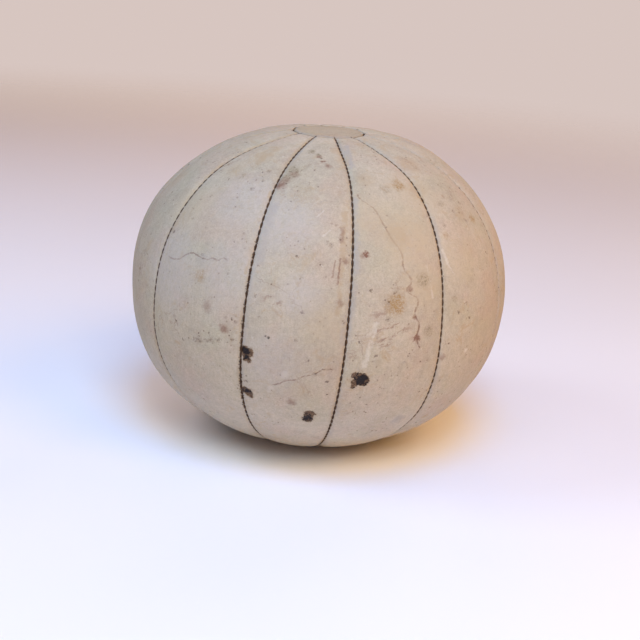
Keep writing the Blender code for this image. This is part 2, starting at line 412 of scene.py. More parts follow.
def shell(name, outer, inner, attributes):
    """A closed mesh from two grids of one size, joined round their rims. The inner one is dark all over,
    with grime and painted shade.
    """
    rows, columns = outer.shape[:2]
    count = rows * columns
    points = np.concatenate([outer.reshape(-1, 3), inner.reshape(-1, 3)])
    index = np.arange(count).reshape(rows, columns)
    a, b, c, d = index[:-1, :-1], index[:-1, 1:], index[1:, 1:], index[1:, :-1]
    top = np.stack([a, b, c, d], -1).reshape(-1, 4)
    under = np.stack([d, c, b, a], -1).reshape(-1, 4) + count
    border = np.concatenate([index[0, :], index[1:, -1], index[-1, -2::-1], index[-2:0:-1, 0]])
    following = np.roll(border, -1)
    rim = np.stack([following, border, border + count, following + count], -1)
    mesh = new_mesh(name, points, np.concatenate([top, under, rim]))
    for key, values in attributes.items():
        flat = np.broadcast_to(values, (rows, columns)).ravel()
        add_attribute(mesh, key, np.concatenate([flat, np.ones(count) if key == "groove" else flat]))
    return mesh


def new_mesh(name, points, faces):
    mesh = bpy.data.meshes.new(name)
    sides = faces.shape[1]
    mesh.vertices.add(len(points))
    mesh.vertices.foreach_set("co", np.ascontiguousarray(points, np.float32).ravel())
    mesh.loops.add(faces.size)
    mesh.loops.foreach_set("vertex_index", np.ascontiguousarray(faces, np.int32).ravel())
    mesh.polygons.add(len(faces))
    mesh.polygons.foreach_set("loop_start", np.arange(0, faces.size, sides, dtype=np.int32))
    mesh.update(calc_edges=True)
    mesh.validate()
    mesh.shade_smooth()
    return mesh


def add_attribute(mesh, name, values):
    mesh.attributes.new(name, "FLOAT", "POINT").data.foreach_set("value", values.astype(np.float32))


def add_piece(name, mesh, material, nodes):
    obj = bpy.data.objects.new(name, mesh)
    bpy.context.scene.collection.objects.link(obj)
    mesh.materials.append(material)
    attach(obj, "root")
    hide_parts(*nodes)
    return obj


def cap_radius(azimuth, left, right):
    """Radius of the cap's seam in this direction, on the straight side between two long seams."""
    middle, half = (left + right) / 2, (right - left) / 2
    return CAP_R * np.cos(half) / np.cos(azimuth - middle)


def across(left, right, radius, column, columns):
    """Azimuth of one lengthwise line of a gore at this radius, before the stitches pull on it."""
    width = right - left
    inner = EDGE_AWAY[-1] / radius
    if column < RIM:
        return left + EDGE_AWAY[column] / radius
    if column >= columns - RIM:
        return right - EDGE_AWAY[columns - 1 - column] / radius
    share = (column - RIM + 1) / (columns - 2 * RIM + 1)
    return left + inner + (width - 2 * inner) * share


MIDDLE_COLUMNS = 9  # of each gore, between its edges
PULL_REACH = 0.0014  # how far from the seam a stitch pulls on the leather
DIMPLE = 0.00016


def gore_end(number, column, columns, up):
    """The arc where a lengthwise line of a gore meets the cap's straight side, found in a few rounds."""
    angle = CAP_ANGLES[up]
    left, right = seam_azimuth(number, angle), seam_azimuth(number + 1, angle)
    radius = CAP_R
    for _ in range(6):
        radius = cap_radius(across(left, right, radius, column, columns), left, right)
    return float(arc_of(angle_at(radius, up)))


def make_gore(number, tones):
    """One leather panel with its edges turned in, from cap to cap."""
    columns = 2 * RIM + MIDDLE_COLUMNS
    low, high = arcs_at(CAP_R)
    middle_rows = int((high - low - 2 * EDGE_AWAY[-1]) / (STITCH / ROWS_PER_STITCH))
    rows = 2 * RIM + middle_rows
    azimuth, arc = np.zeros((rows, columns)), np.zeros((rows, columns))
    for column in range(columns):
        near = gore_end(number, column, columns, False) + EDGE_AWAY
        far = gore_end(number, column, columns, True) - EDGE_AWAY[::-1]
        between = np.linspace(near[-1], far[0], middle_rows + 2)[1:-1]
        arc[:, column] = np.concatenate([near, between, far])
    angle = angle_of(arc)
    radius = meridian(angle)[0]
    left, right = seam_azimuth(number, angle), seam_azimuth(number + 1, angle)
    for column in range(columns):
        azimuth[:, column] = across(left[:, column], right[:, column], radius[:, column], column, columns)
    from_left, from_right = (azimuth - left) * radius, (right - azimuth) * radius
    from_side = np.minimum(from_left, from_right)
    edge = np.concatenate([np.arange(RIM), np.full(MIDDLE_COLUMNS, RIM - 1), np.arange(RIM)[::-1]])
    end = np.concatenate([np.arange(RIM), np.full(middle_rows, RIM - 1), np.arange(RIM)[::-1]])
    side_depth, end_depth = EDGE_DEPTH[edge][None, :], EDGE_DEPTH[end][:, None]
    deeper = np.maximum(side_depth, end_depth)
    depth = np.where(deeper > 0, deeper, side_depth + end_depth)
    from_end = np.minimum(arc - arc[:1] + EDGE_AWAY[0], arc[-1:] - arc + EDGE_AWAY[0])
    # stitches part the edges in their middle and pinch them together between
    on_left = from_left < from_right
    turns = np.where(on_left, stitch_turns(arc, number), stitch_turns(arc, number + 1))
    side = np.where(on_left, 1, -1)
    pull = np.cos(2 * math.pi * turns)
    pinch = 0.35 * pull - 0.65 * np.exp(4.0 * (-pull - 1))
    fade = np.exp(-from_side / PULL_REACH)
    tight = TIGHT * smooth((np.abs(angle) - 0.55) / 0.45)
    lateral = (PINCH * pinch - tight) * side * fade / radius
    dimple = DIMPLE * (1 - np.abs(pull)) * np.exp(-(((from_side - 0.0018) / PULL_REACH) ** 2))
    outer = skin(azimuth + lateral, angle, depth + dimple)
    set_back = np.maximum(SET_BACK - from_side, 0) * side
    end_back = np.maximum(SET_BACK - from_end, 0) * np.where(arc < arc.mean(), 1, -1)
    inner = skin(azimuth + set_back / radius, angle_of(arc + end_back), np.maximum(LEATHER, depth + GAP))
    # groove: how dark the seam's grime and painted shade are here
    attributes = {
        "groove": np.maximum(EDGE_DIRT_AND_SHADE[edge][None, :], EDGE_DIRT_AND_SHADE[end][:, None] * CAP_DIRT_AND_SHADE),
        "panel": number,
        "stitch": turns,
        "beside": np.where(on_left, from_side, -from_side) * 1000,
    }
    mesh = shell(f"gore_skin_{number + 1:02d}", outer, inner, attributes)
    leather = leather_material(f"gore_leather_{number + 1:02d}", *tones, outer.reshape(-1, 3)[::7])
    return add_piece(mesh.name, mesh, leather, [f"gore_{number + 1:02d}"])


def cap_outline(up, steps):
    """Azimuths round a cap's seam, this many to a side, and its radius at each."""
    corners = [float(seam_azimuth(seam, CAP_ANGLES[up])) for seam in range(GORES + 1)]
    corners[GORES] = corners[0] + 2 * math.pi
    turns = [np.linspace(left, right, steps, endpoint=False) for left, right in zip(corners, corners[1:])]
    radii = [cap_radius(turn, left, right) for turn, left, right in zip(turns, corners, corners[1:])]
    return np.concatenate(turns), np.concatenate(radii)


def finished(made, name):
    """The smooth mesh of what was made, facing outwards."""
    bmesh.ops.recalc_face_normals(made, faces=made.faces)
    mesh = bpy.data.meshes.new(name)
    made.to_mesh(mesh)
    made.free()
    mesh.shade_smooth()
    return mesh


CAP_STEPS = 18  # along each side of a cap
PUCKER = 0.0005  # how deep the caps' corners are drawn in
WAVE = 0.00012


def make_cap(end, up, tones):
    """A twelve-sided cap: rings that follow the sides at its edge and turn round towards the middle."""
    turn, rim = cap_outline(up, CAP_STEPS)
    half = CAP_STEPS / 2
    corner_away = np.abs((np.arange(len(turn)) + half) % CAP_STEPS - half) / CAP_STEPS
    core = np.linspace(1.0, 0.0, 15)[1:-1]
    rows = [rim - away for away in EDGE_AWAY]
    mean_inside = float(rim.mean() - EDGE_AWAY[-1])
    for share in core:
        rows.append((rows[RIM - 1] * share + mean_inside * (1 - share)) * share)
    radius = np.stack(rows)
    depths = np.concatenate([EDGE_DEPTH, np.zeros(len(core))])[:, None]
    dirt_and_shade_rows = np.concatenate([EDGE_DIRT_AND_SHADE * CAP_DIRT_AND_SHADE, np.zeros(len(core))])[:, None]
    from_edge = rim[None, :] - radius
    pucker = PUCKER * np.exp(-((corner_away / 0.10) ** 2))[None, :] * np.exp(-from_edge / 0.0035)
    wave = WAVE * np.cos(2 * math.pi * turn * CAP_R / STITCH)[None, :] * np.exp(-from_edge / 0.0018)
    outer = skin(turn[None, :], angle_at(np.maximum(radius, AXIS_R), up), depths + pucker + wave)
    inner_radius = np.maximum(np.minimum(radius, rim[None, :] - SET_BACK), AXIS_R)
    inner = skin(turn[None, :], angle_at(inner_radius, up), np.maximum(LEATHER, depths + GAP))
    rows_count, count = radius.shape
    middle = skin(np.zeros((2, 1)), np.full((2, 1), angle_at(AXIS_R, up)), np.array([[0.0], [LEATHER]]))
    points = np.concatenate([outer.reshape(-1, 3), inner.reshape(-1, 3), middle.reshape(-1, 3)])
    total = rows_count * count
    index, beside, quads = round_quads(rows_count, count)
    edge = np.stack([beside[0], index[0], index[0] + total, beside[0] + total], -1)
    made = bmesh.new()
    corners_of = [made.verts.new(p) for p in points]
    faces = np.concatenate([quads, quads[:, ::-1] + total, edge])
    for face in faces:
        made.faces.new([corners_of[i] for i in face])
    for offset, hub in ((0, 2 * total), (total, 2 * total + 1)):
        for i in range(count):
            a, b = index[-1, i] + offset, beside[-1, i] + offset
            made.faces.new([corners_of[a], corners_of[b], corners_of[hub]])
    mesh = finished(made, f"cap_skin_{end}")
    knots = np.exp(-((corner_away / 0.05) ** 2))[None, :] * np.exp(-((from_edge - 0.001) / 0.0022) ** 2)
    # the seam's grime and painted shade, and dark knots at the corners
    dirt_and_shade = np.maximum(np.broadcast_to(dirt_and_shade_rows, radius.shape), 0.85 * knots)
    add_attribute(mesh, "groove", np.concatenate([dirt_and_shade.ravel(), np.ones(total), [0.0, 1.0]]))
    add_attribute(mesh, "panel", np.full(2 * total + 2, 12.0 + up))
    turns = np.broadcast_to(turn * CAP_R / STITCH, radius.shape).ravel()
    add_attribute(mesh, "stitch", np.concatenate([turns, turns, [0.0, 0.0]]))
    inward = np.broadcast_to(from_edge, radius.shape).ravel() * 1000
    add_attribute(mesh, "beside", np.concatenate([inward, inward, [9.0, 9.0]]))
    leather = leather_material(f"cap_leather_{end}", *tones, points[::7])
    return add_piece(mesh.name, mesh, leather, [f"cap_{end}"])


# -------------------- threads
def strand(centres, normals, radius, sides, closed, twist):
    """Points and quads of a two-ply strand along these centres. Its ends are left open."""
    following = np.roll(centres, -1, axis=0) - np.roll(centres, 1, axis=0)
    if not closed:
        following[0], following[-1] = centres[1] - centres[0], centres[-1] - centres[-2]
    tangent = following / np.linalg.norm(following, axis=1)[:, None]
    side = np.cross(tangent, normals)
    side /= np.linalg.norm(side, axis=1)[:, None]
    up = np.cross(side, tangent)
    length = np.concatenate([[0], np.cumsum(np.linalg.norm(np.diff(centres, axis=0), axis=1))])
    around = np.arange(sides) * 2 * math.pi / sides
    ply = radius[:, None] * (1 + 0.16 * np.cos(2 * (around[None, :] - length[:, None] * twist)))
    ring = side[:, None, :] * np.cos(around)[None, :, None] + up[:, None, :] * np.sin(around)[None, :, None]
    points = centres[:, None, :] + ring * ply[..., None]
    index, beside, quads = round_quads(len(centres), sides)
    if closed:
        last = np.stack([index[-1], beside[-1], beside[0], index[0]], -1)
        quads = np.concatenate([quads, last])
    return points.reshape(-1, 3), quads


def strands_mesh(name, strands):
    """One mesh from several strands, each a closed body."""
    made = bmesh.new()
    for points, quads, sides, closed in strands:
        corners = [made.verts.new(p) for p in points]
        for quad in quads:
            made.faces.new([corners[i] for i in quad])
        if not closed:
            made.faces.new(corners[:sides][::-1])
            made.faces.new(corners[-sides:])
    return finished(made, name)


THREAD_R = 0.00062
THREAD_SIDES = 8
THREAD_TWIST = 1500.0  # radians to the metre
CAP_THREAD_DEEPER = 0.0007
THREAD_STOP = 0.0016  # how far short of the cap's seam a long thread ends
CLOSING_SEAM = 11
CROSS_FROM = 0.30  # shares of the seam's length that the cross stitches cover
CROSS_TO = 0.66
CROSS_SKIPPED = 0.25  # the share of them that has worn away
CROSS_POINTS = 9
CROSS_R = 0.00019
CROSS_SIDES = 6
CROSS_TWIST = 2600.0


def stitched_line(arc, seam):
    """Depth and sideways place of the thread along a seam."""
    phase = beat(arc, seam)
    depth = 0.00072 + 0.00085 * ((1 - phase) / 2) ** 2
    sideways = 0.00020 * np.sin(math.pi * arc / STITCH + seam * 1.2)
    return depth, sideways


def make_seam_thread(seam, name, node, thread):
    """The thread of one long seam, diving between the edges from stitch to stitch."""
    low, high = arcs_at(CAP_R + THREAD_STOP)
    arc = np.linspace(low, high, int((high - low) / STITCH * 10))
    angle = angle_of(arc)
    radius = meridian(angle)[0]
    depth, sideways = stitched_line(arc, seam)
    azimuth = seam_azimuth(seam, angle)
    centres = skin(azimuth + sideways / radius, angle, depth)
    _, normals = ground(azimuth, angle)
    thick = THREAD_R * (0.92 + 0.12 * beat(arc, seam))
    strands = [(*strand(centres, normals, thick, THREAD_SIDES, False, THREAD_TWIST), THREAD_SIDES, False)]
    if seam == CLOSING_SEAM:
        strands += cross_stitches(seam, low, high)
    mesh = strands_mesh(name, strands)
    return add_piece(name, mesh, thread, [node])


def cross_stitches(seam, low, high):
    """The last seam is drawn shut from outside: a short strand lies over it at every stitch."""
    draw = np.random.default_rng(12)
    found = []
    begin, finish = low + (high - low) * CROSS_FROM, low + (high - low) * CROSS_TO
    for arc in np.arange(begin, finish, STITCH / 2):
        reach_left, reach_right = draw.uniform(0.0011, 0.0021, 2)
        lean, keep = draw.uniform(-0.0012, 0.0012), draw.random()
        if keep < CROSS_SKIPPED:
            continue
        part = np.linspace(-1, 1, CROSS_POINTS)
        line = arc + lean * part
        angle = angle_of(line)
        radius = meridian(angle)[0]
        sideways = np.where(part < 0, part * reach_left, part * reach_right)
        depth = -0.00005 + 0.0009 * np.abs(part) ** 5 - 0.00012 * (1 - part * part)
        azimuth = seam_azimuth(seam, angle)
        centres = skin(azimuth + sideways / radius, angle, depth)
        _, normals = ground(azimuth, angle)
        thick = np.full(CROSS_POINTS, CROSS_R)
        points, quads = strand(centres, normals, thick, CROSS_SIDES, False, CROSS_TWIST)
        found.append((points, quads, CROSS_SIDES, False))
    return found


def make_cap_thread(end, up, thread):
    """The thread round a cap, which lies deeper than those of the long seams."""
    turn, radius = cap_outline(up, 26)
    depth = stitched_line(turn * CAP_R, 3)[0] + CAP_THREAD_DEEPER
    angles = angle_at(radius, up)
    centres = skin(turn, angles, depth)
    _, normals = ground(turn, angles)
    thick = np.full(len(turn), THREAD_R)
    points, quads = strand(centres, normals, thick, THREAD_SIDES, True, THREAD_TWIST)
    name = f"cap_stitching_{end}"
    mesh = strands_mesh(name, [(points, quads, THREAD_SIDES, True)])
    return add_piece(name, mesh, thread, [f"cap_thread_{end}"])


# -------------------- lining and stuffing
LINING_MARGIN = 0.0044
CAP_LINING_MARGIN = 0.0056
LINING_DEEP = LEATHER + GAP


def make_lining(number, canvas):
    """A canvas panel behind one gore, cut to its shape and stopping short of the turned-in edges."""
    margin = LINING_MARGIN
    rows, columns = 110, 17
    low, high = arcs_at(CAP_R + margin)
    arc = np.linspace(low, high, rows)[:, None] * np.ones((1, columns))
    angle = angle_of(arc)
    radius = meridian(angle)[0]
    left = seam_azimuth(number, angle) + margin / radius
    right = seam_azimuth(number + 1, angle) - margin / radius
    azimuth = left + (right - left) * np.linspace(0, 1, columns)[None, :]
    outer = skin(azimuth, angle, LINING_DEEP)
    inner = skin(azimuth, angle, LINING_DEEP + LINING)
    mesh = shell(f"canvas_{number + 1:02d}", outer, inner, {"panel": number})
    return add_piece(mesh.name, mesh, canvas, [f"lining_{number + 1:02d}"])


def on_axis(up, depth):
    """The point this deep under the skin on the ball's axis."""
    return skin(np.zeros(1), np.full(1, float(angle_at(AXIS_R, up))), depth)[0]


def canvas_disc(name, radii, up):
    """A round disc of canvas through these radii."""
    rings, count = len(radii), 72
    turn = np.arange(count) * 2 * math.pi / count
    made = bmesh.new()
    layers = []
    for depth in (LINING_DEEP, LINING_DEEP + LINING):
        layer = []
        for radius in radii:
            angles = np.full(count, float(angle_at(radius, up)))
            layer.append([made.verts.new(p) for p in skin(turn, angles, depth)])
        layers.append((layer, made.verts.new(on_axis(up, depth))))
    for layer, hub in layers:
        for ring in range(rings - 1):
            for i in range(count):
                j = (i + 1) % count
                made.faces.new([layer[ring][i], layer[ring][j], layer[ring + 1][j], layer[ring + 1][i]])
        for i in range(count):
            made.faces.new([layer[-1][i], layer[-1][(i + 1) % count], hub])
    outside, inside = layers[0][0][0], layers[1][0][0]
    for i in range(count):
        j = (i + 1) % count
        made.faces.new([outside[i], outside[j], inside[j], inside[i]])
    return finished(made, name)


def make_cap_lining(end, up, canvas):
    """The canvas under a cap."""
    mesh = canvas_disc(f"canvas_{end}", np.linspace(CAP_R - CAP_LINING_MARGIN, 0.003, 9), up)
    add_attribute(mesh, "panel", np.full(len(mesh.vertices), 12.0 + up))
    return add_piece(mesh.name, mesh, canvas, [f"cap_lining_{end}"])


def make_stuffing(hair):
    """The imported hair: the skin's own shape, a little uneven, one closed body."""
    deep = LINING_DEEP + LINING + GAP
    rows, count = 120, 180
    angle = np.linspace(-math.pi / 2 + 0.02, math.pi / 2 - 0.02, rows)
    turn = np.arange(count) * 2 * math.pi / count
    flat = np.broadcast_to(angle[:, None], (rows, count))
    points = skin(turn[None, :], flat, deep)
    made = bmesh.new()
    verts = [[made.verts.new(p) for p in row] for row in points]
    for i in range(rows - 1):
        for j in range(count):
            k = (j + 1) % count
            made.faces.new([verts[i][j], verts[i][k], verts[i + 1][k], verts[i + 1][j]])
    for row, up in ((verts[0], False), (verts[-1], True)):
        hub = made.verts.new(on_axis(up, deep))
        for j in range(count):
            made.faces.new([row[j], row[(j + 1) % count], hub])
    return add_piece("hair_filling", finished(made, "hair_filling"), hair, ["stuffing"])


# -------------------- materials
class Graph:
    """A short way to write a material's nodes."""

    def __init__(self, name):
        self.material = bpy.data.materials.new(name)
        self.material.use_nodes = True
        self.tree = self.material.node_tree
        self.shader = self.tree.nodes["Principled BSDF"]

    def put(self, socket, value):
        if isinstance(value, bpy.types.NodeSocket):
            self.tree.links.new(value, socket)
        else:
            socket.default_value = value

    def node(self, kind, settings=None, **inputs):
        made = self.tree.nodes.new(kind)
        for key, value in (settings or {}).items():
            setattr(made, key, value)
        for key, value in inputs.items():
            self.put(made.inputs[key.replace("_", " ")], value)
        return made

    def math(self, operation, first, second=0.0, clamp=False):
        made = self.tree.nodes.new("ShaderNodeMath")
        made.operation = operation
        made.use_clamp = clamp
        self.put(made.inputs[0], first)
        if operation not in ("ABSOLUTE", "COSINE"):
            self.put(made.inputs[1], second)
        return made.outputs[0]

    def times(self, first, second, clamp=False):
        return self.math("MULTIPLY", first, second, clamp)

    def plus(self, first, second):
        return self.math("ADD", first, second)

    def minus(self, first, second):
        return self.math("SUBTRACT", first, second)

    def most(self, first, second):
        return self.math("MAXIMUM", first, second)

    def vector(self, operation, first, second=(0, 0, 0), scale=None):
        made = self.tree.nodes.new("ShaderNodeVectorMath")
        made.operation = operation
        self.put(made.inputs[0], first)
        if operation == "SCALE":
            self.put(made.inputs["Scale"], scale)
        elif operation != "LENGTH":
            self.put(made.inputs[1], second)
        return made.outputs["Value" if operation in ("DISTANCE", "LENGTH", "DOT_PRODUCT") else "Vector"]

    def noise(self, vector, scale, detail=2.0, roughness=0.5, distortion=0.0, colour=False):
        fine = {"Detail": detail, "Roughness": roughness, "Distortion": distortion}
        made = self.node("ShaderNodeTexNoise", Vector=vector, Scale=scale, **fine)
        return made.outputs["Color" if colour else "Fac"]

    def cells(self, vector, scale, feature="F1"):
        made = self.node("ShaderNodeTexVoronoi", {"feature": feature}, Vector=vector, Scale=scale)
        return made.outputs["Distance"]

    def turned(self, vector, angle):
        """The place turned about Y."""
        settings = {"rotation_type": "Y_AXIS"}
        return self.node("ShaderNodeVectorRotate", settings, Vector=vector, Angle=angle).outputs[0]

    def shaded(self, colour, value):
        """The colour times one value in all its channels."""
        grey = self.node("ShaderNodeCombineXYZ", X=value, Y=value, Z=value).outputs[0]
        return self.mix(1.0, colour, grey, "MULTIPLY")

    def span(self, value, low, high, to_low=0.0, to_high=1.0, smooth_step=True):
        made = self.node("ShaderNodeMapRange")
        made.interpolation_type = "SMOOTHSTEP" if smooth_step else "LINEAR"
        made.clamp = True
        keys = ("Value", "From Min", "From Max", "To Min", "To Max")
        for key, item in zip(keys, (value, low, high, to_low, to_high)):
            self.put(made.inputs[key], item)
        return made.outputs["Result"]

    def mix(self, share, first, second, blend="MIX"):
        made = self.tree.nodes.new("ShaderNodeMix")
        made.data_type = "RGBA"
        made.blend_type = blend
        made.clamp_factor = True
        self.put(made.inputs["Factor"], share)
        for key, value in (("A", first), ("B", second)):
            socket = next(s for s in made.inputs if s.name == key and s.type == "RGBA")
            self.put(socket, (*value, 1.0) if isinstance(value, tuple) and len(value) == 3 else value)
        return next(s for s in made.outputs if s.type == "RGBA")

    def bump(self, height, strength, distance, normal=None):
        made = self.node("ShaderNodeBump", Height=height, Strength=strength, Distance=distance)
        if normal is not None:
            self.put(made.inputs["Normal"], normal)
        return made.outputs["Normal"]

    def curve(self, value, points):
        """A drawn curve through (value, result) pairs, all between 0 and 1."""
        made = self.tree.nodes.new("ShaderNodeFloatCurve")
        made.inputs["Factor"].default_value = 1.0
        self.put(made.inputs["Value"], value)
        line = made.mapping.curves[0]
        while len(line.points) < len(points):
            line.points.new(0.5, 0.5)
        for spot, pair in zip(line.points, points):
            spot.location = pair
            spot.handle_type = "AUTO"
        made.mapping.update()
        return made.outputs["Value"]


def attribute(graph, name):
    return graph.node("ShaderNodeAttribute", {"attribute_name": name}).outputs["Fac"]


# Colours of the marks on the leather, and of painted cool light, painted warm light and painted shade
CHAR = (0.020, 0.013, 0.012)
DARK_BROWN = (0.105, 0.062, 0.040)
RED_BROWN = (0.205, 0.102, 0.066)
OCHRE = (0.335, 0.215, 0.095)
OLIVE = (0.235, 0.190, 0.115)
GREY_DIRT_AND_SHADE = (0.365, 0.330, 0.300)
PAINTED_COOL_LIGHT = (0.480, 0.442, 0.430)
PAINTED_WARM_LIGHT = (0.480, 0.385, 0.265)
CHALK = (0.600, 0.555, 0.470)
TAN = (0.410, 0.305, 0.190)
CRACK_BROWN = (0.185, 0.100, 0.062)
SEAM_BLACK = (0.052, 0.030, 0.018)

# Round marks: azimuth in degrees, height in mm, radius in mm, strength
SPOTS = {
    # painted light: broad lilac patches on the left side stand in for cool light falling there
    PAINTED_COOL_LIGHT: [
        (-21, 196, 24, 0.36), (-36, 205, 24, 0.3), (-34, 160, 26, 0.28), (-57, 150, 28, 0.3),
        (-14, 150, 16, 0.3), (-20, 100, 22, 0.25),
    ],
    # painted light: broad buff patches, mostly on the right side, stand in for warm light falling there
    PAINTED_WARM_LIGHT: [
        (6, 205, 18, 0.45), (19, 190, 20, 0.65), (28, 215, 20, 0.45), (22, 160, 16, 0.5),
        (-6, 130, 16, 0.35), (38, 175, 18, 0.35), (-58, 195, 18, 0.35),
    ],
    TAN: [
        (-82, 205, 9, 0.3), (-50, 222, 9, 0.3), (-43.6, 231.9, 8, 0.45), (-40.9, 237.4, 5, 0.45),
        (-11.4, 79.4, 8, 0.25), (-0.2, 236.1, 6, 0.35), (8, 225, 7, 0.35), (15.1, 191.9, 9, 0.35),
        (30.4, 219.2, 7, 0.5), (38.1, 233.2, 9, 0.5), (45.5, 201.3, 6, 0.4),
    ],
    GREY_DIRT_AND_SHADE: [
        (22.7, 50.2, 5, 0.5), (-44.2, 163, 6, 0.3),
    ],
    OLIVE: [
        (-23.6, 227.2, 5, 0.75), (-25, 223, 4.4, 0.6), (-26.4, 229, 3, 0.35),
        (-43.5, 218.9, 3.4, 0.45), (-19, 239, 2.8, 1.1), (-14.6, 237.4, 2.2, 1.2),
        (15.2, 219.8, 4, 0.35), (37.8, 209.2, 2.4, 0.45), (-41.5, 226, 4.5, 0.25),
        (22.1, 162.4, 5, 0.55), (23.9, 126.4, 4.4, 0.45), (33.3, 147.3, 3, 0.4),
    ],
    OCHRE: [
        (-43.9, 151.6, 4.6, 0.45), (13, 146.6, 7.2, 1), (52, 197, 4, 0.6), (46.2, 164.5, 2.2, 0.45),
        (22, 222, 5, 0.75), (30, 214, 3, 0.6), (34, 190, 3, 0.4), (-17, 214, 9, 0.22),
    ],
    RED_BROWN: [
        (-14, 236.2, 1.8, 1.1), (-11.4, 234, 2, 1.2), (-8.6, 231.6, 2.6, 0.6), (-23, 225.4, 3.6, 0.5),
        (-25.2, 221.4, 3.4, 0.5), (-26.8, 218.8, 4.2, 0.75), (4.4, 179.9, 2, 1.4),
        (3.3, 179, 1.7, 0.6), (-13.9, 68.4, 3.2, 0.55), (-34.4, 118.7, 3.4, 0.6),
        (17.2, 156.4, 2.2, 0.75), (19, 137, 1.8, 0.75), (20, 120.9, 2.5, 0.9), (-1.6, 175, 2.8, 0.55),
        (-39.9, 131.5, 3.6, 0.38), (-2.6, 147, 2.6, 0.4), (31, 103, 2.6, 0.4),
    ],
    DARK_BROWN: [
        (-34.4, 224.7, 1.5, 0.8), (-36.9, 212.9, 1.7, 0.6), (-34.5, 219, 1.3, 0.45),
        (34.9, 196.2, 1.5, 0.6), (42.3, 203.9, 1.8, 0.6), (46.7, 197.1, 2, 0.4),
        (-13.7, 118.3, 1.4, 0.5), (13.9, 157.1, 1.2, 0.95), (12.6, 154.5, 1.3, 0.85),
        (10.9, 147.6, 1.4, 0.75), (10.8, 136.3, 1.8, 0.65), (-27.5, 84.7, 0.8, 0.9),
        (-28.4, 80, 0.8, 0.8), (-27.6, 80.2, 0.9, 0.9), (-44.9, 166, 1.2, 0.9),
        (-44.4, 163.6, 1.2, 0.9), (-46.6, 167, 0.8, 0.8), (-35, 157.6, 0.8, 0.9),
        (-35.4, 154.6, 0.7, 0.8), (-36.6, 151.6, 0.7, 0.6), (-48.6, 161, 1, 0.8),
        (-34, 127, 1.1, 0.65), (-32.1, 126.5, 1.1, 0.65), (-31.1, 124.8, 1.2, 0.65),
        (-6.2, 198.2, 1, 0.55), (-4.6, 197.4, 1, 0.5), (-6.1, 184.9, 1.8, 0.35),
        (-7.8, 93.9, 1.4, 0.55),
    ],
    CHAR: [
        (-22, 118.4, 0.9, 0.9), (-21.2, 117.7, 1.1, 1),
    ],
    CHALK: [
        (40.3, 104.9, 1.7, 0.9), (6, 126, 2.6, 0.4), (-20.4, 77.8, 2.6, 0.4), (-16.2, 91.8, 3, 0.35),
    ],
}
# Long marks: both ends as azimuth in degrees and height in mm, then half the width in mm, strength
STREAKS = {
    CHALK: [
        ((7.6, 133), (5.4, 101.5), 2.4, 0.6), ((-11, 201.8), (-9, 205.6), 0.8, 0.4),
        ((-10.2, 200.8), (-8.2, 204.6), 0.5, 0.35), ((-8.6, 190), (-6.6, 194), 0.7, 0.4),
        ((-12.6, 209.4), (-10.4, 212.4), 0.8, 0.35), ((31, 181), (31.9, 172), 1.2, 0.5),
        ((31.9, 172), (33.8, 164), 0.8, 0.4), ((23.6, 172), (25, 150), 1.2, 0.35),
    ],
    TAN: [
        ((-1.9, 205), (-2.4, 176), 2.6, 0.55), ((-2.7, 178), (-3, 140), 2.4, 0.5),
        ((-29.6, 214), (-29.9, 160), 1.2, 0.5),
    ],
    # painted shade: grey bands along and right of the seams
    GREY_DIRT_AND_SHADE: [
        ((1.9, 214), (1.6, 168), 3, 0.55), ((4.2, 243), (3, 232), 2.2, 0.6),
        ((0.9, 160), (-0.8, 120), 3.4, 0.4), ((-26, 205), (-26.4, 170), 4, 0.45),
    ],
    RED_BROWN: [
        ((-3.1, 176.5), (-3.6, 160), 0.8, 0.6), ((-4.6, 175), (-5.1, 164), 0.7, 0.45),
        ((-2.6, 196), (-2.9, 188), 2, 0.4), ((15.7, 152.2), (19.2, 149), 0.5, 0.7),
        ((19.2, 149), (20.2, 140.3), 0.6, 0.7), ((20.2, 140.3), (19, 136.2), 0.6, 0.7),
        ((20.9, 119.6), (16, 123), 0.5, 0.5), ((20.2, 131), (15.5, 128.5), 0.4, 0.5),
        ((14, 131), (19.5, 133.5), 0.4, 0.5),
    ],
    DARK_BROWN: [
        ((-38.6, 235), (-33.4, 232), 0.8, 0.6), ((-42.4, 134.6), (-38.2, 139.6), 0.9, 1.1),
        ((-41.6, 134), (-38.9, 132), 0.7, 0.7), ((-43.6, 104), (-35.6, 109.4), 2, 0.4),
        ((-34.9, 160), (-35.6, 153), 0.5, 0.55), ((37.1, 237), (40, 230.4), 2, 0.2),
        ((-18.6, 117), (-8, 121), 0.35, 0.35),
    ],
}

# Hairline cracks, as (azimuth in degrees, height in mm). The first runs up the ball, the others round it.
CRACK_UP = [
    (3, 218), (3.8, 214.9), (8.4, 209.1), (10.6, 200.7), (12.7, 191.2), (15.6, 180.7), (15.7, 171.7),
    (18, 162), (16.4, 156), (19.8, 150), (19.1, 139), (20.6, 131), (20.2, 122), (22, 112),
]
CRACK_LEFT = [
    (-59.8, 157.7), (-53.8, 158.4), (-51.6, 162.4), (-48.8, 165.7), (-45.1, 164.3), (-42.6, 164.1),
    (-41, 165.9), (-39, 165), (-37.4, 167.5), (-35.9, 166), (-35.2, 160),
]
CRACK_LOW = [
    (-20.6, 81.3), (-17.9, 82.7), (-16.1, 86), (-12.8, 88.3), (-11.3, 90.9), (-7.7, 94.2),
    (-6.1, 97.4), (-3.9, 98.2), (-1.6, 97.3),
]
CREASED_AT = (11.0, 126.0)
LARGE_MARK = 1.9  # mm
BURN_SLOPE = 0.0030
MARK_BLUR = 0.008  # how far beyond its radius a mark may spread
HIGHEST = 0.26
WIDEST_TURN = math.pi


def place(azimuth_deg, height_mm):
    return tuple(float(v) for v in on_skin(azimuth_deg, height_mm))


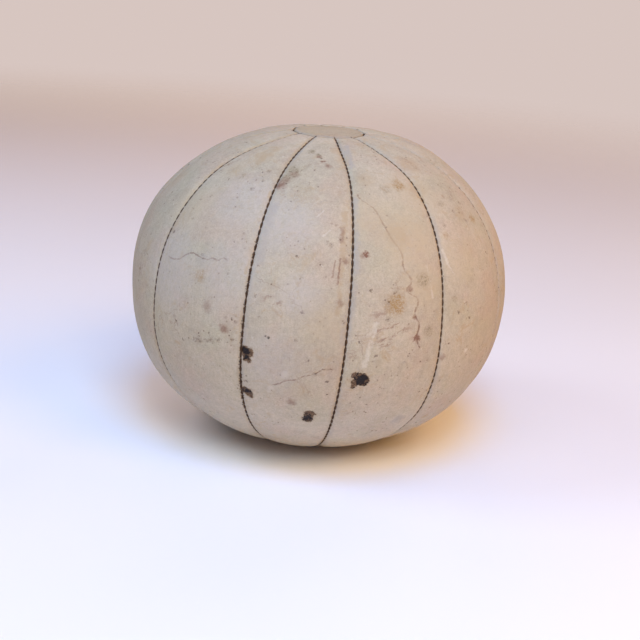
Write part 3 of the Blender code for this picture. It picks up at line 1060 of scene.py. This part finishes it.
def streak_mask(g, here, start, end, radius, strength):
    """A soft long mark between two places."""
    first, last = Vector(place(*start)), Vector(place(*end))
    along = last - first
    from_first = g.vector("SUBTRACT", here, tuple(first))
    travelled = g.vector("DOT_PRODUCT", from_first, tuple(along))
    part = g.math("DIVIDE", travelled, along.length_squared, clamp=True)
    away = g.vector("DISTANCE", from_first, g.vector("SCALE", tuple(along), scale=part))
    return g.span(away, radius / 1000 * 1.35, radius / 1000 * 0.45, 0.0, strength)


def crack_mask(g, turn, height, points, upwards, width):
    """A thin wavering line through these places. Its break-up comes from the caller."""
    turns = [math.radians(a) / WIDEST_TURN + 0.5 for a, _ in points]
    heights = [h / 1000 / HIGHEST for _, h in points]
    if upwards:
        pairs, value, other, scale = sorted(zip(heights, turns)), height, turn, EQUATOR_R * WIDEST_TURN
    else:
        pairs, value, other, scale = sorted(zip(turns, heights)), turn, height, HIGHEST
    middle = g.curve(value, pairs)
    away = g.times(g.math("ABSOLUTE", g.minus(other, middle)), scale)
    line = g.span(away, width, width * 0.25)
    first, last = pairs[0][0], pairs[-1][0]
    inside = g.times(g.span(value, first, first + 0.01), g.span(value, last, last - 0.01))
    return g.times(line, inside)


def touches(points, centre, radius):
    """Whether a mark of this radius in mm comes near any of these points."""
    return np.linalg.norm(points - np.array(centre), axis=1).min() < radius * 0.0016 + MARK_BLUR


def marked(g, colour, surface, places, grit, broken):
    """The colour with this surface's marks: stains, and patches of painted light and shade. Each is grit in
    a soft patch; large ones have wilder edges.
    """
    patchy = g.span(broken, 0.30, 0.55, 0.55, 1.15)
    gritty = g.times(g.span(grit, 0.44, 0.60, 0.34, 1.45), g.span(broken, 0.34, 0.58, 0.55, 1.15))
    for tint in (PAINTED_COOL_LIGHT, PAINTED_WARM_LIGHT, TAN, GREY_DIRT_AND_SHADE, OLIVE, OCHRE, RED_BROWN, DARK_BROWN, CHAR, CHALK):
        mask = None
        for azimuth, up, radius, strength in SPOTS.get(tint, []):
            centre = place(azimuth, up)
            if not touches(surface, centre, radius):
                continue
            away = g.vector("DISTANCE", places[radius > LARGE_MARK], centre)
            found = g.span(away, radius / 1000 * 1.55, radius / 1000 * 0.35, 0.0, strength)
            mask = found if mask is None else g.most(mask, found)
        for start, end, radius, strength in STREAKS.get(tint, []):
            first, last = np.array(place(*start)), np.array(place(*end))
            if not any(touches(surface, first + (last - first) * t, radius) for t in np.linspace(0, 1, 9)):
                continue
            found = streak_mask(g, places[radius > LARGE_MARK], start, end, radius, strength)
            mask = found if mask is None else g.most(mask, found)
        if mask is None:
            continue
        grain = gritty if tint in (OLIVE, OCHRE, DARK_BROWN) else patchy
        colour = g.mix(g.times(mask, grain, clamp=True), colour, tint)
    return colour


def burns(g, here):
    """How deep in a burn this place is, 0 at its rim, and how near one's blackest part."""
    burn, black = None, None
    for azimuth, up, radius, deep in (part for parts in SCORCHES for part in parts):
        away = g.vector("DISTANCE", here, place(azimuth, up))
        found = g.math("DIVIDE", g.minus(away, radius / 1000), -BURN_SLOPE)
        darker = g.times(g.plus(found, 0.25), deep)
        burn = found if burn is None else g.most(burn, found)
        black = darker if black is None else g.most(black, darker)
    return burn, black


class Hide:
    """The places on one panel, and the noises that the layers of its leather share."""

    def __init__(self, g):
        self.here = g.node("ShaderNodeTexCoord").outputs["Object"]
        self.panel = attribute(g, "panel")
        # each panel is cut from its own place in the hide
        x, y = g.times(self.panel, 0.37), g.times(self.panel, 0.83)
        self.cut = g.node("ShaderNodeCombineXYZ", X=x, Y=y, Z=self.panel).outputs[0]
        self.place = g.vector("ADD", self.here, self.cut)
        self.patch = g.noise(self.place, 48.0, 5.0, 0.60, 0.5)
        self.grainy = g.noise(self.place, 240.0, 4.0, 0.62, 0.4)
        self.fine = g.noise(self.place, 1000.0, 3.0, 0.6)
        self.wrinkle = g.noise(g.vector("MULTIPLY", self.place, (1.0, 1.0, 2.4)), 300.0, 4.0, 0.65, 1.4)
        self.dirty = g.noise(g.vector("ADD", self.place, (0.0, 2.0, 6.0)), 23.0, 3.0, 0.6)
        self.broken = g.noise(self.here, 330.0, 3.0, 0.6)
        self.stir = g.vector("SUBTRACT", g.noise(self.here, 190.0, 4.0, 0.65, colour=True), (0.5, 0.5, 0.5))
        shiver = g.vector("SUBTRACT", g.noise(self.here, 620.0, 3.0, 0.65, colour=True), (0.5, 0.5, 0.5))
        # two wavering copies of the place, for the edges of small and of large marks
        self.near = g.vector("ADD", self.here, g.vector("SCALE", shiver, scale=0.0022))
        self.stirred = g.vector("ADD", self.near, g.vector("SCALE", self.stir, scale=0.0075))
        self.tall = g.node("ShaderNodeSeparateXYZ", Vector=self.here).outputs["Z"]


def clean_colour(g, hide, light, middle, dark):
    """Clouds and patches of the tones, a little rosy or greenish in places, with grain and fibre."""
    cloud = g.noise(hide.place, 13.0, 4.0, 0.55, 0.3)
    colour = g.mix(g.span(cloud, 0.34, 0.66), middle, light)
    colour = g.mix(g.times(g.span(hide.patch, 0.50, 0.76), 0.45), colour, dark)
    rosy = tuple(a * b for a, b in zip(middle, (1.06, 0.92, 0.95)))
    greenish = tuple(a * b for a, b in zip(middle, (0.94, 1.01, 0.90)))
    pink = g.noise(g.vector("ADD", hide.place, (4.0, 1.0, 2.0)), 34.0, 3.0, 0.55, 0.4)
    colour = g.mix(g.times(g.span(pink, 0.46, 0.66), 0.35), colour, rosy)
    green = g.noise(g.vector("ADD", hide.place, (7.0, 3.0, 5.0)), 29.0, 3.0, 0.55, 0.4)
    colour = g.mix(g.times(g.span(green, 0.50, 0.70), 0.30), colour, greenish)
    fibre = g.noise(g.vector("MULTIPLY", hide.place, (1.0, 1.0, 0.16)), 620.0, 2.0, 0.6)
    tone = g.noise(g.node("ShaderNodeCombineXYZ", X=hide.panel).outputs[0], 3.7, 0.0)
    shade = g.span(hide.grainy, 0.28, 0.72, 0.91, 1.06, False)
    shade = g.times(shade, g.span(hide.fine, 0.28, 0.74, 0.88, 1.10, False))
    shade = g.times(shade, g.span(fibre, 0.28, 0.72, 0.95, 1.05, False))
    shade = g.times(shade, g.span(hide.wrinkle, 0.30, 0.70, 0.94, 1.05, False))
    shade = g.times(shade, g.span(tone, 0.3, 0.7, 0.965, 1.03, False))
    return g.shaded(colour, shade)


def dirtied(g, hide, colour):
    """The colour with specks where the hide is dirtiest, broad creased stains and pale scratches."""
    speck = g.cells(g.vector("ADD", hide.stirred, hide.cut), 95.0)
    speck_mask = g.times(g.span(speck, 0.13, 0.06), g.span(hide.dirty, 0.46, 0.60, 0.08, 0.80))
    freckle = g.cells(g.vector("ADD", hide.near, hide.cut), 230.0)
    freckle_mask = g.times(g.span(freckle, 0.20, 0.10), g.span(hide.patch, 0.48, 0.64, 0.08, 0.75))
    colour = g.mix(g.most(speck_mask, freckle_mask), colour, DARK_BROWN)
    stain = g.noise(g.vector("ADD", hide.place, (1.3, 8.1, 2.2)), 62.0, 5.0, 0.68, 1.2)
    soiled = g.most(g.span(hide.dirty, 0.44, 0.60), g.span(hide.tall, 0.175, 0.225, 0.0, 0.75))
    stain_mask = g.times(g.span(stain, 0.53, 0.68), soiled)
    colour = g.mix(g.times(stain_mask, 0.70), colour, TAN)
    slanted = g.vector("MULTIPLY", g.vector("ADD", hide.stirred, hide.cut), (0.5, 0.5, 1.0))
    crease = g.noise(g.vector("MULTIPLY", g.turned(slanted, 0.65), (0.22, 1.0, 1.0)), 330.0, 3.0, 0.6)
    creased = g.span(g.vector("DISTANCE", hide.here, place(*CREASED_AT)), 0.026, 0.008)
    crease_mask = g.times(g.span(crease, 0.55, 0.66), g.most(creased, g.span(hide.dirty, 0.60, 0.74)))
    colour = g.mix(g.times(crease_mask, 0.62), colour, RED_BROWN)
    scratch = g.noise(g.vector("MULTIPLY", g.turned(hide.place, -0.9), (0.10, 1.0, 1.0)), 520.0, 1.0, 0.5)
    scratch_mask = g.times(g.span(scratch, 0.70, 0.76), g.span(hide.patch, 0.52, 0.60))
    return g.mix(g.times(scratch_mask, 0.40), colour, CHALK)


def crack_masks(g, hide):
    """Hairline cracks: a web in places, and three long ones."""
    wave = g.noise(hide.place, 55.0, 4.0, 0.6, colour=True)
    waved = g.vector("ADD", hide.place, g.vector("SCALE", wave, scale=0.030))
    web = g.cells(waved, 24.0, "DISTANCE_TO_EDGE")
    crack = g.times(g.span(web, 0.014, 0.004), g.span(hide.dirty, 0.52, 0.64, 0.0, 0.35))
    spread = g.node("ShaderNodeSeparateXYZ", Vector=hide.near)
    angle = g.math("ARCTAN2", spread.outputs["X"], g.times(spread.outputs["Y"], -1.0))
    turn = g.plus(g.math("DIVIDE", angle, WIDEST_TURN), 0.5)
    height = g.math("DIVIDE", spread.outputs["Z"], HIGHEST)
    lines = crack_mask(g, turn, height, CRACK_UP, True, 0.00110)
    for points in (CRACK_LEFT, CRACK_LOW):
        lines = g.most(lines, crack_mask(g, turn, height, points, False, 0.00075))
    return g.most(crack, g.times(lines, g.span(hide.broken, 0.38, 0.55, 0.25, 1.0)))


def painted_seam_rims(g, hide, colour):
    """The colour with painted light along the seams: a tan tint left of each seam for its lit rim, grey
    painted shade right of it.
    """
    beside = attribute(g, "beside")
    breaks = g.noise(hide.here, 26.0, 2.0)
    lit_left_rim = g.times(g.span(beside, -3.4, -1.6), g.span(beside, -0.3, -0.9))
    shaded_right_rim = g.times(g.span(beside, 5.0, 1.8), g.span(beside, 0.3, 0.9))
    colour = g.mix(g.times(lit_left_rim, g.span(breaks, 0.40, 0.60, 0.10, 0.50)), colour, TAN)
    return g.mix(g.times(shaded_right_rim, g.span(breaks, 0.42, 0.62, 0.05, 0.45)), colour, GREY_DIRT_AND_SHADE)


def scorched(g, hide, colour, grit):
    """The colour with its burns, brown and black with a few pale flecks of painted highlight, and where they
    are.
    """
    burn, black = burns(g, g.vector("ADD", hide.near, g.vector("SCALE", hide.stir, scale=0.0036)))
    speckled = g.plus(g.minus(grit, 0.5), g.minus(hide.broken, 0.5))
    charred = g.plus(black, g.times(speckled, 3.2))
    inside = g.mix(g.span(grit, 0.40, 0.62), (0.085, 0.046, 0.025), (0.215, 0.135, 0.078))
    inside = g.mix(g.span(charred, 0.25, 0.75), inside, (0.010, 0.006, 0.006))
    # painted highlight: pale flecks in the burns stand in for small glints
    inside = g.mix(g.times(g.span(hide.fine, 0.66, 0.72), 0.75), inside, (0.42, 0.34, 0.28))
    burnt = g.span(g.plus(burn, g.times(g.minus(grit, 0.5), 0.9)), -0.14, 0.10)
    halo = g.times(g.span(burn, -0.55, 0.0), 0.30)
    return g.mix(burnt, g.mix(halo, colour, TAN), inside), burnt


def seam_dirt_and_shade(g, hide):
    """Dirt and wax worked into the seams, with painted shade deep in the groove, thinned out where the edges
    meet between two stitches.
    """
    groove = attribute(g, "groove")
    stitch = g.math("COSINE", g.times(attribute(g, "stitch"), 2 * math.pi))
    breaks = g.times(g.span(stitch, -0.60, -0.92), g.span(groove, 1.0, 0.93))
    breaks = g.times(breaks, g.span(hide.broken, 0.38, 0.60, 0.12, 0.80))
    groove_darkness = g.times(groove, g.span(hide.broken, 0.25, 0.70, 0.80, 1.15, False))
    return g.times(g.span(groove_darkness, 0.14, 0.80), g.minus(1.0, breaks))


def leather_relief(g, hide, crack, burnt):
    """Grain, creases and cracks, then the finest fibre and the crust of the burns."""
    relief = g.plus(g.times(g.noise(hide.place, 130.0, 4.0, 0.6, 0.8), 0.55), g.times(hide.grainy, 0.45))
    relief = g.plus(relief, g.times(hide.wrinkle, 0.50))
    relief = g.minus(relief, g.times(crack, 0.40))
    normal = g.bump(relief, 0.60, 0.00050)
    small = g.plus(hide.fine, g.times(g.times(burnt, hide.broken), 3.0))
    return g.bump(small, 0.45, 0.00014, normal)


def leather_material(name, light, middle, dark, surface):
    """Dry pale leather with its wear, and with painted light and shade. It holds only the marks near these
    points of the piece's surface.
    """
    g = Graph(name)
    hide = Hide(g)
    colour = dirtied(g, hide, clean_colour(g, hide, light, middle, dark))
    crack = crack_masks(g, hide)
    colour = g.mix(g.times(crack, 0.75), colour, CRACK_BROWN)
    # painted light: the colour grows up to 1.23 times paler towards the bottom, brightening the shaded
    # underside
    colour = g.shaded(colour, g.span(hide.tall, 0.115, 0.012, 1.0, 1.23))
    # painted light: a lit tan rim left of each seam and grey painted shade right of it
    colour = painted_seam_rims(g, hide, colour)
    grit = g.noise(hide.here, 820.0, 3.0, 0.7)
    colour = marked(g, colour, surface, (hide.near, hide.stirred), grit, hide.broken)
    colour, burnt = scorched(g, hide, colour, grit)
    # the seams darkened by grime, wax and painted shade
    g.put(g.shader.inputs["Base Color"], g.mix(seam_dirt_and_shade(g, hide), colour, SEAM_BLACK))
    rough = g.span(hide.grainy, 0.25, 0.75, 0.72, 0.88, False)
    g.put(g.shader.inputs["Roughness"], g.minus(rough, g.times(burnt, 0.10)))
    g.shader.inputs["Specular IOR Level"].default_value = 0.30
    g.put(g.shader.inputs["Normal"], leather_relief(g, hide, crack, burnt))
    return g.material


def thread_material():
    """Waxed linen, nearly black, dusty where it has been scuffed."""
    g = Graph("waxed_thread")
    here = g.node("ShaderNodeTexCoord").outputs["Object"]
    blot = g.noise(here, 170.0, 3.0, 0.6)
    fibre = g.noise(here, 2600.0, 2.0, 0.6)
    colour = g.mix(g.span(blot, 0.35, 0.7), (0.062, 0.034, 0.019), (0.105, 0.061, 0.036))
    colour = g.mix(g.times(g.span(fibre, 0.55, 0.8), 0.35), colour, (0.22, 0.15, 0.10))
    g.put(g.shader.inputs["Base Color"], colour)
    g.put(g.shader.inputs["Roughness"], g.span(fibre, 0.3, 0.7, 0.72, 0.90, False))
    g.shader.inputs["Specular IOR Level"].default_value = 0.15
    g.put(g.shader.inputs["Normal"], g.bump(fibre, 0.5, 0.0001))
    return g.material


def canvas_material():
    """Plain-weave canvas."""
    g = Graph("canvas_lining")
    here = g.node("ShaderNodeTexCoord").outputs["Object"]
    yarns = {"Vector": here, "Scale": 330.0, "Distortion": 0.6}
    warp = g.node("ShaderNodeTexWave", {"bands_direction": "Z"}, **yarns)
    weft = g.node("ShaderNodeTexWave", {"bands_direction": "DIAGONAL"}, **yarns)
    weave = g.times(warp.outputs["Fac"], weft.outputs["Fac"])
    cloud = g.noise(here, 30.0, 4.0, 0.6)
    colour = g.mix(g.span(cloud, 0.3, 0.7), (0.50, 0.43, 0.32), (0.60, 0.53, 0.41))
    colour = g.mix(g.times(g.minus(1.0, weave), 0.35), colour, (0.30, 0.25, 0.18))
    g.put(g.shader.inputs["Base Color"], colour)
    g.put(g.shader.inputs["Roughness"], g.span(weave, 0.0, 1.0, 0.95, 0.82, False))
    g.put(g.shader.inputs["Normal"], g.bump(weave, 0.6, 0.0003))
    return g.material


def hair_material():
    """Matted, packed hair."""
    g = Graph("hair_stuffing")
    here = g.node("ShaderNodeTexCoord").outputs["Object"]
    tangle = g.vector("ADD", here, g.vector("SCALE", g.noise(here, 60.0, 4.0, 0.6, colour=True), scale=0.05))
    lock = g.node("ShaderNodeTexWave", Vector=tangle, Scale=120.0, Distortion=9.0, Detail=4.0).outputs["Fac"]
    strand_noise = g.noise(tangle, 900.0, 3.0, 0.7)
    colour = g.mix(lock, (0.10, 0.065, 0.04), (0.26, 0.18, 0.12))
    colour = g.mix(g.span(strand_noise, 0.45, 0.75), colour, (0.42, 0.33, 0.24))
    g.put(g.shader.inputs["Base Color"], colour)
    g.put(g.shader.inputs["Roughness"], g.span(strand_noise, 0.2, 0.8, 0.75, 0.95, False))
    g.put(g.shader.inputs["Normal"], g.bump(g.plus(lock, strand_noise), 0.8, 0.0012))
    return g.material


# -------------------- stage
FLOOR_CLEAR_TO = 1.3  # how far from the ball the floor is solid, and from where it is all backdrop
FLOOR_GONE_AT = 3.0


def make_stage():
    """A plain pale floor under a plain backdrop."""
    g = Graph("floor")
    here = g.node("ShaderNodeTexCoord").outputs["Object"]
    colour = g.mix(g.span(g.noise(here, 1.4, 2.0), 0.3, 0.7), (0.815, 0.835, 0.915), (0.825, 0.845, 0.925))
    g.put(g.shader.inputs["Base Color"], colour)
    g.put(g.shader.inputs["Roughness"], g.span(g.noise(here, 30.0, 2.0), 0.3, 0.7, 0.6, 0.7, False))
    g.shader.inputs["Specular IOR Level"].default_value = 0.2
    # far out the floor fades into the pale backdrop
    away = g.vector("LENGTH", here)
    clear = g.node("ShaderNodeBsdfTransparent").outputs[0]
    faded = g.node("ShaderNodeMixShader", Fac=g.span(away, FLOOR_CLEAR_TO, FLOOR_GONE_AT))
    g.put(faded.inputs[1], g.shader.outputs[0])
    g.put(faded.inputs[2], clear)
    g.put(g.tree.nodes["Material Output"].inputs["Surface"], faded.outputs[0])
    made = bmesh.new()
    bmesh.ops.create_grid(made, x_segments=8, y_segments=8, size=FLOOR_GONE_AT)
    mesh = bpy.data.meshes.new("floor")
    made.to_mesh(mesh)
    made.free()
    mesh.materials.append(g.material)
    floor = bpy.data.objects.new("floor", mesh)
    bpy.context.scene.collection.objects.link(floor)


# Soft boxes: name, direction in degrees (azimuth, elevation), distance, size, colour, watts
LIGHTS = [
    ("front", (0, 42), 1.9, 0.8, (0.93, 1.00, 0.95), 14.6),
    ("front_high", (0, 66), 1.9, 0.8, (0.04, 0.41, 1.00), 21.3),
    ("front_low", (0, 16), 1.9, 0.8, (1.00, 0.62, 0.40), 4.6),
    ("left_low", (305, 16), 1.9, 0.8, (1.00, 0.90, 0.85), 2.4),
    ("right_front", (45, 42), 1.9, 0.8, (1.00, 0.50, 0.06), 14.6),
    ("right_low", (90, 18), 1.9, 0.8, (1.00, 0.49, 0.09), 7.6),
    ("left_back", (225, 42), 1.9, 0.8, (1.00, 0.61, 0.55), 2.4),
    ("left", (270, 42), 1.9, 0.8, (0.90, 0.95, 1.00), 9.8),
    ("left_high", (315, 66), 1.9, 0.8, (0.87, 0.83, 1.00), 4.4),
    ("back", (180, 28), 3.6, 2.0, (1.00, 0.59, 0.28), 26.9),
    ("back_right", (140, 26), 3.8, 1.6, (1.00, 0.78, 0.70), 28.0),
]
LIGHT_AIM = (0.0, 0.0, 0.12)
BACKDROP = (0.680, 0.565, 0.530)
DARK_STUDIO = (0.010, 0.0045, 0.003)  # what the backdrop sends back to the ball


def make_lights():
    """The soft boxes round the ball."""
    for name, (azimuth, elevation), distance, size, colour, power in LIGHTS:
        turn, rise = math.radians(azimuth), math.radians(elevation)
        level = distance * math.cos(rise)
        offset = Vector((level * math.sin(turn), -level * math.cos(turn), distance * math.sin(rise)))
        data = bpy.data.lights.new(name, "AREA")
        data.shape = "SQUARE"
        data.size = size
        data.color = colour
        data.energy = power
        light = bpy.data.objects.new(name, data)
        bpy.context.scene.collection.objects.link(light)
        light.location = Vector(LIGHT_AIM) + offset
        light.rotation_mode = "QUATERNION"
        light.rotation_quaternion = (-offset).to_track_quat("-Z", "Y")


def make_backdrop():
    """A backdrop that looks pale to the camera and hardly lights the ball."""
    world = bpy.data.worlds.new("studio")
    world.use_nodes = True
    nodes, links = world.node_tree.nodes, world.node_tree.links
    dark, pale = nodes["Background"], nodes.new("ShaderNodeBackground")
    dark.inputs["Color"].default_value = (*DARK_STUDIO, 1.0)
    pale.inputs["Color"].default_value = (*BACKDROP, 1.0)
    seen = nodes.new("ShaderNodeMixShader")
    links.new(nodes.new("ShaderNodeLightPath").outputs["Is Camera Ray"], seen.inputs["Fac"])
    links.new(dark.outputs[0], seen.inputs[1])
    links.new(pale.outputs[0], seen.inputs[2])
    links.new(seen.outputs[0], nodes["World Output"].inputs["Surface"])
    bpy.context.scene.world = world


# -------------------- build
# light, middle and dark tones of the leather
GORE_TONES = ((0.490, 0.422, 0.326), (0.440, 0.375, 0.286), (0.335, 0.278, 0.200))
CAP_TONES = ((0.420, 0.345, 0.252), (0.375, 0.305, 0.213), (0.285, 0.224, 0.150))
waxed = thread_material()
canvas = canvas_material()
hair = hair_material()

for number in range(GORES):
    make_gore(number, GORE_TONES)
    make_lining(number, canvas)
for end, up in (("top", True), ("bottom", False)):
    make_cap(end, up, CAP_TONES)
    make_cap_thread(end, up, waxed)
    make_cap_lining(end, up, canvas)
for seam in range(GORES - 1):
    make_seam_thread(seam, f"stitching_{seam + 1:02d}", f"seam_thread_{seam + 1:02d}", waxed)
make_seam_thread(CLOSING_SEAM, "closing_stitching", "closing_thread", waxed)
make_stuffing(hair)

make_stage()
make_lights()
make_backdrop()
bpy.context.scene.view_settings.view_transform = "Standard"
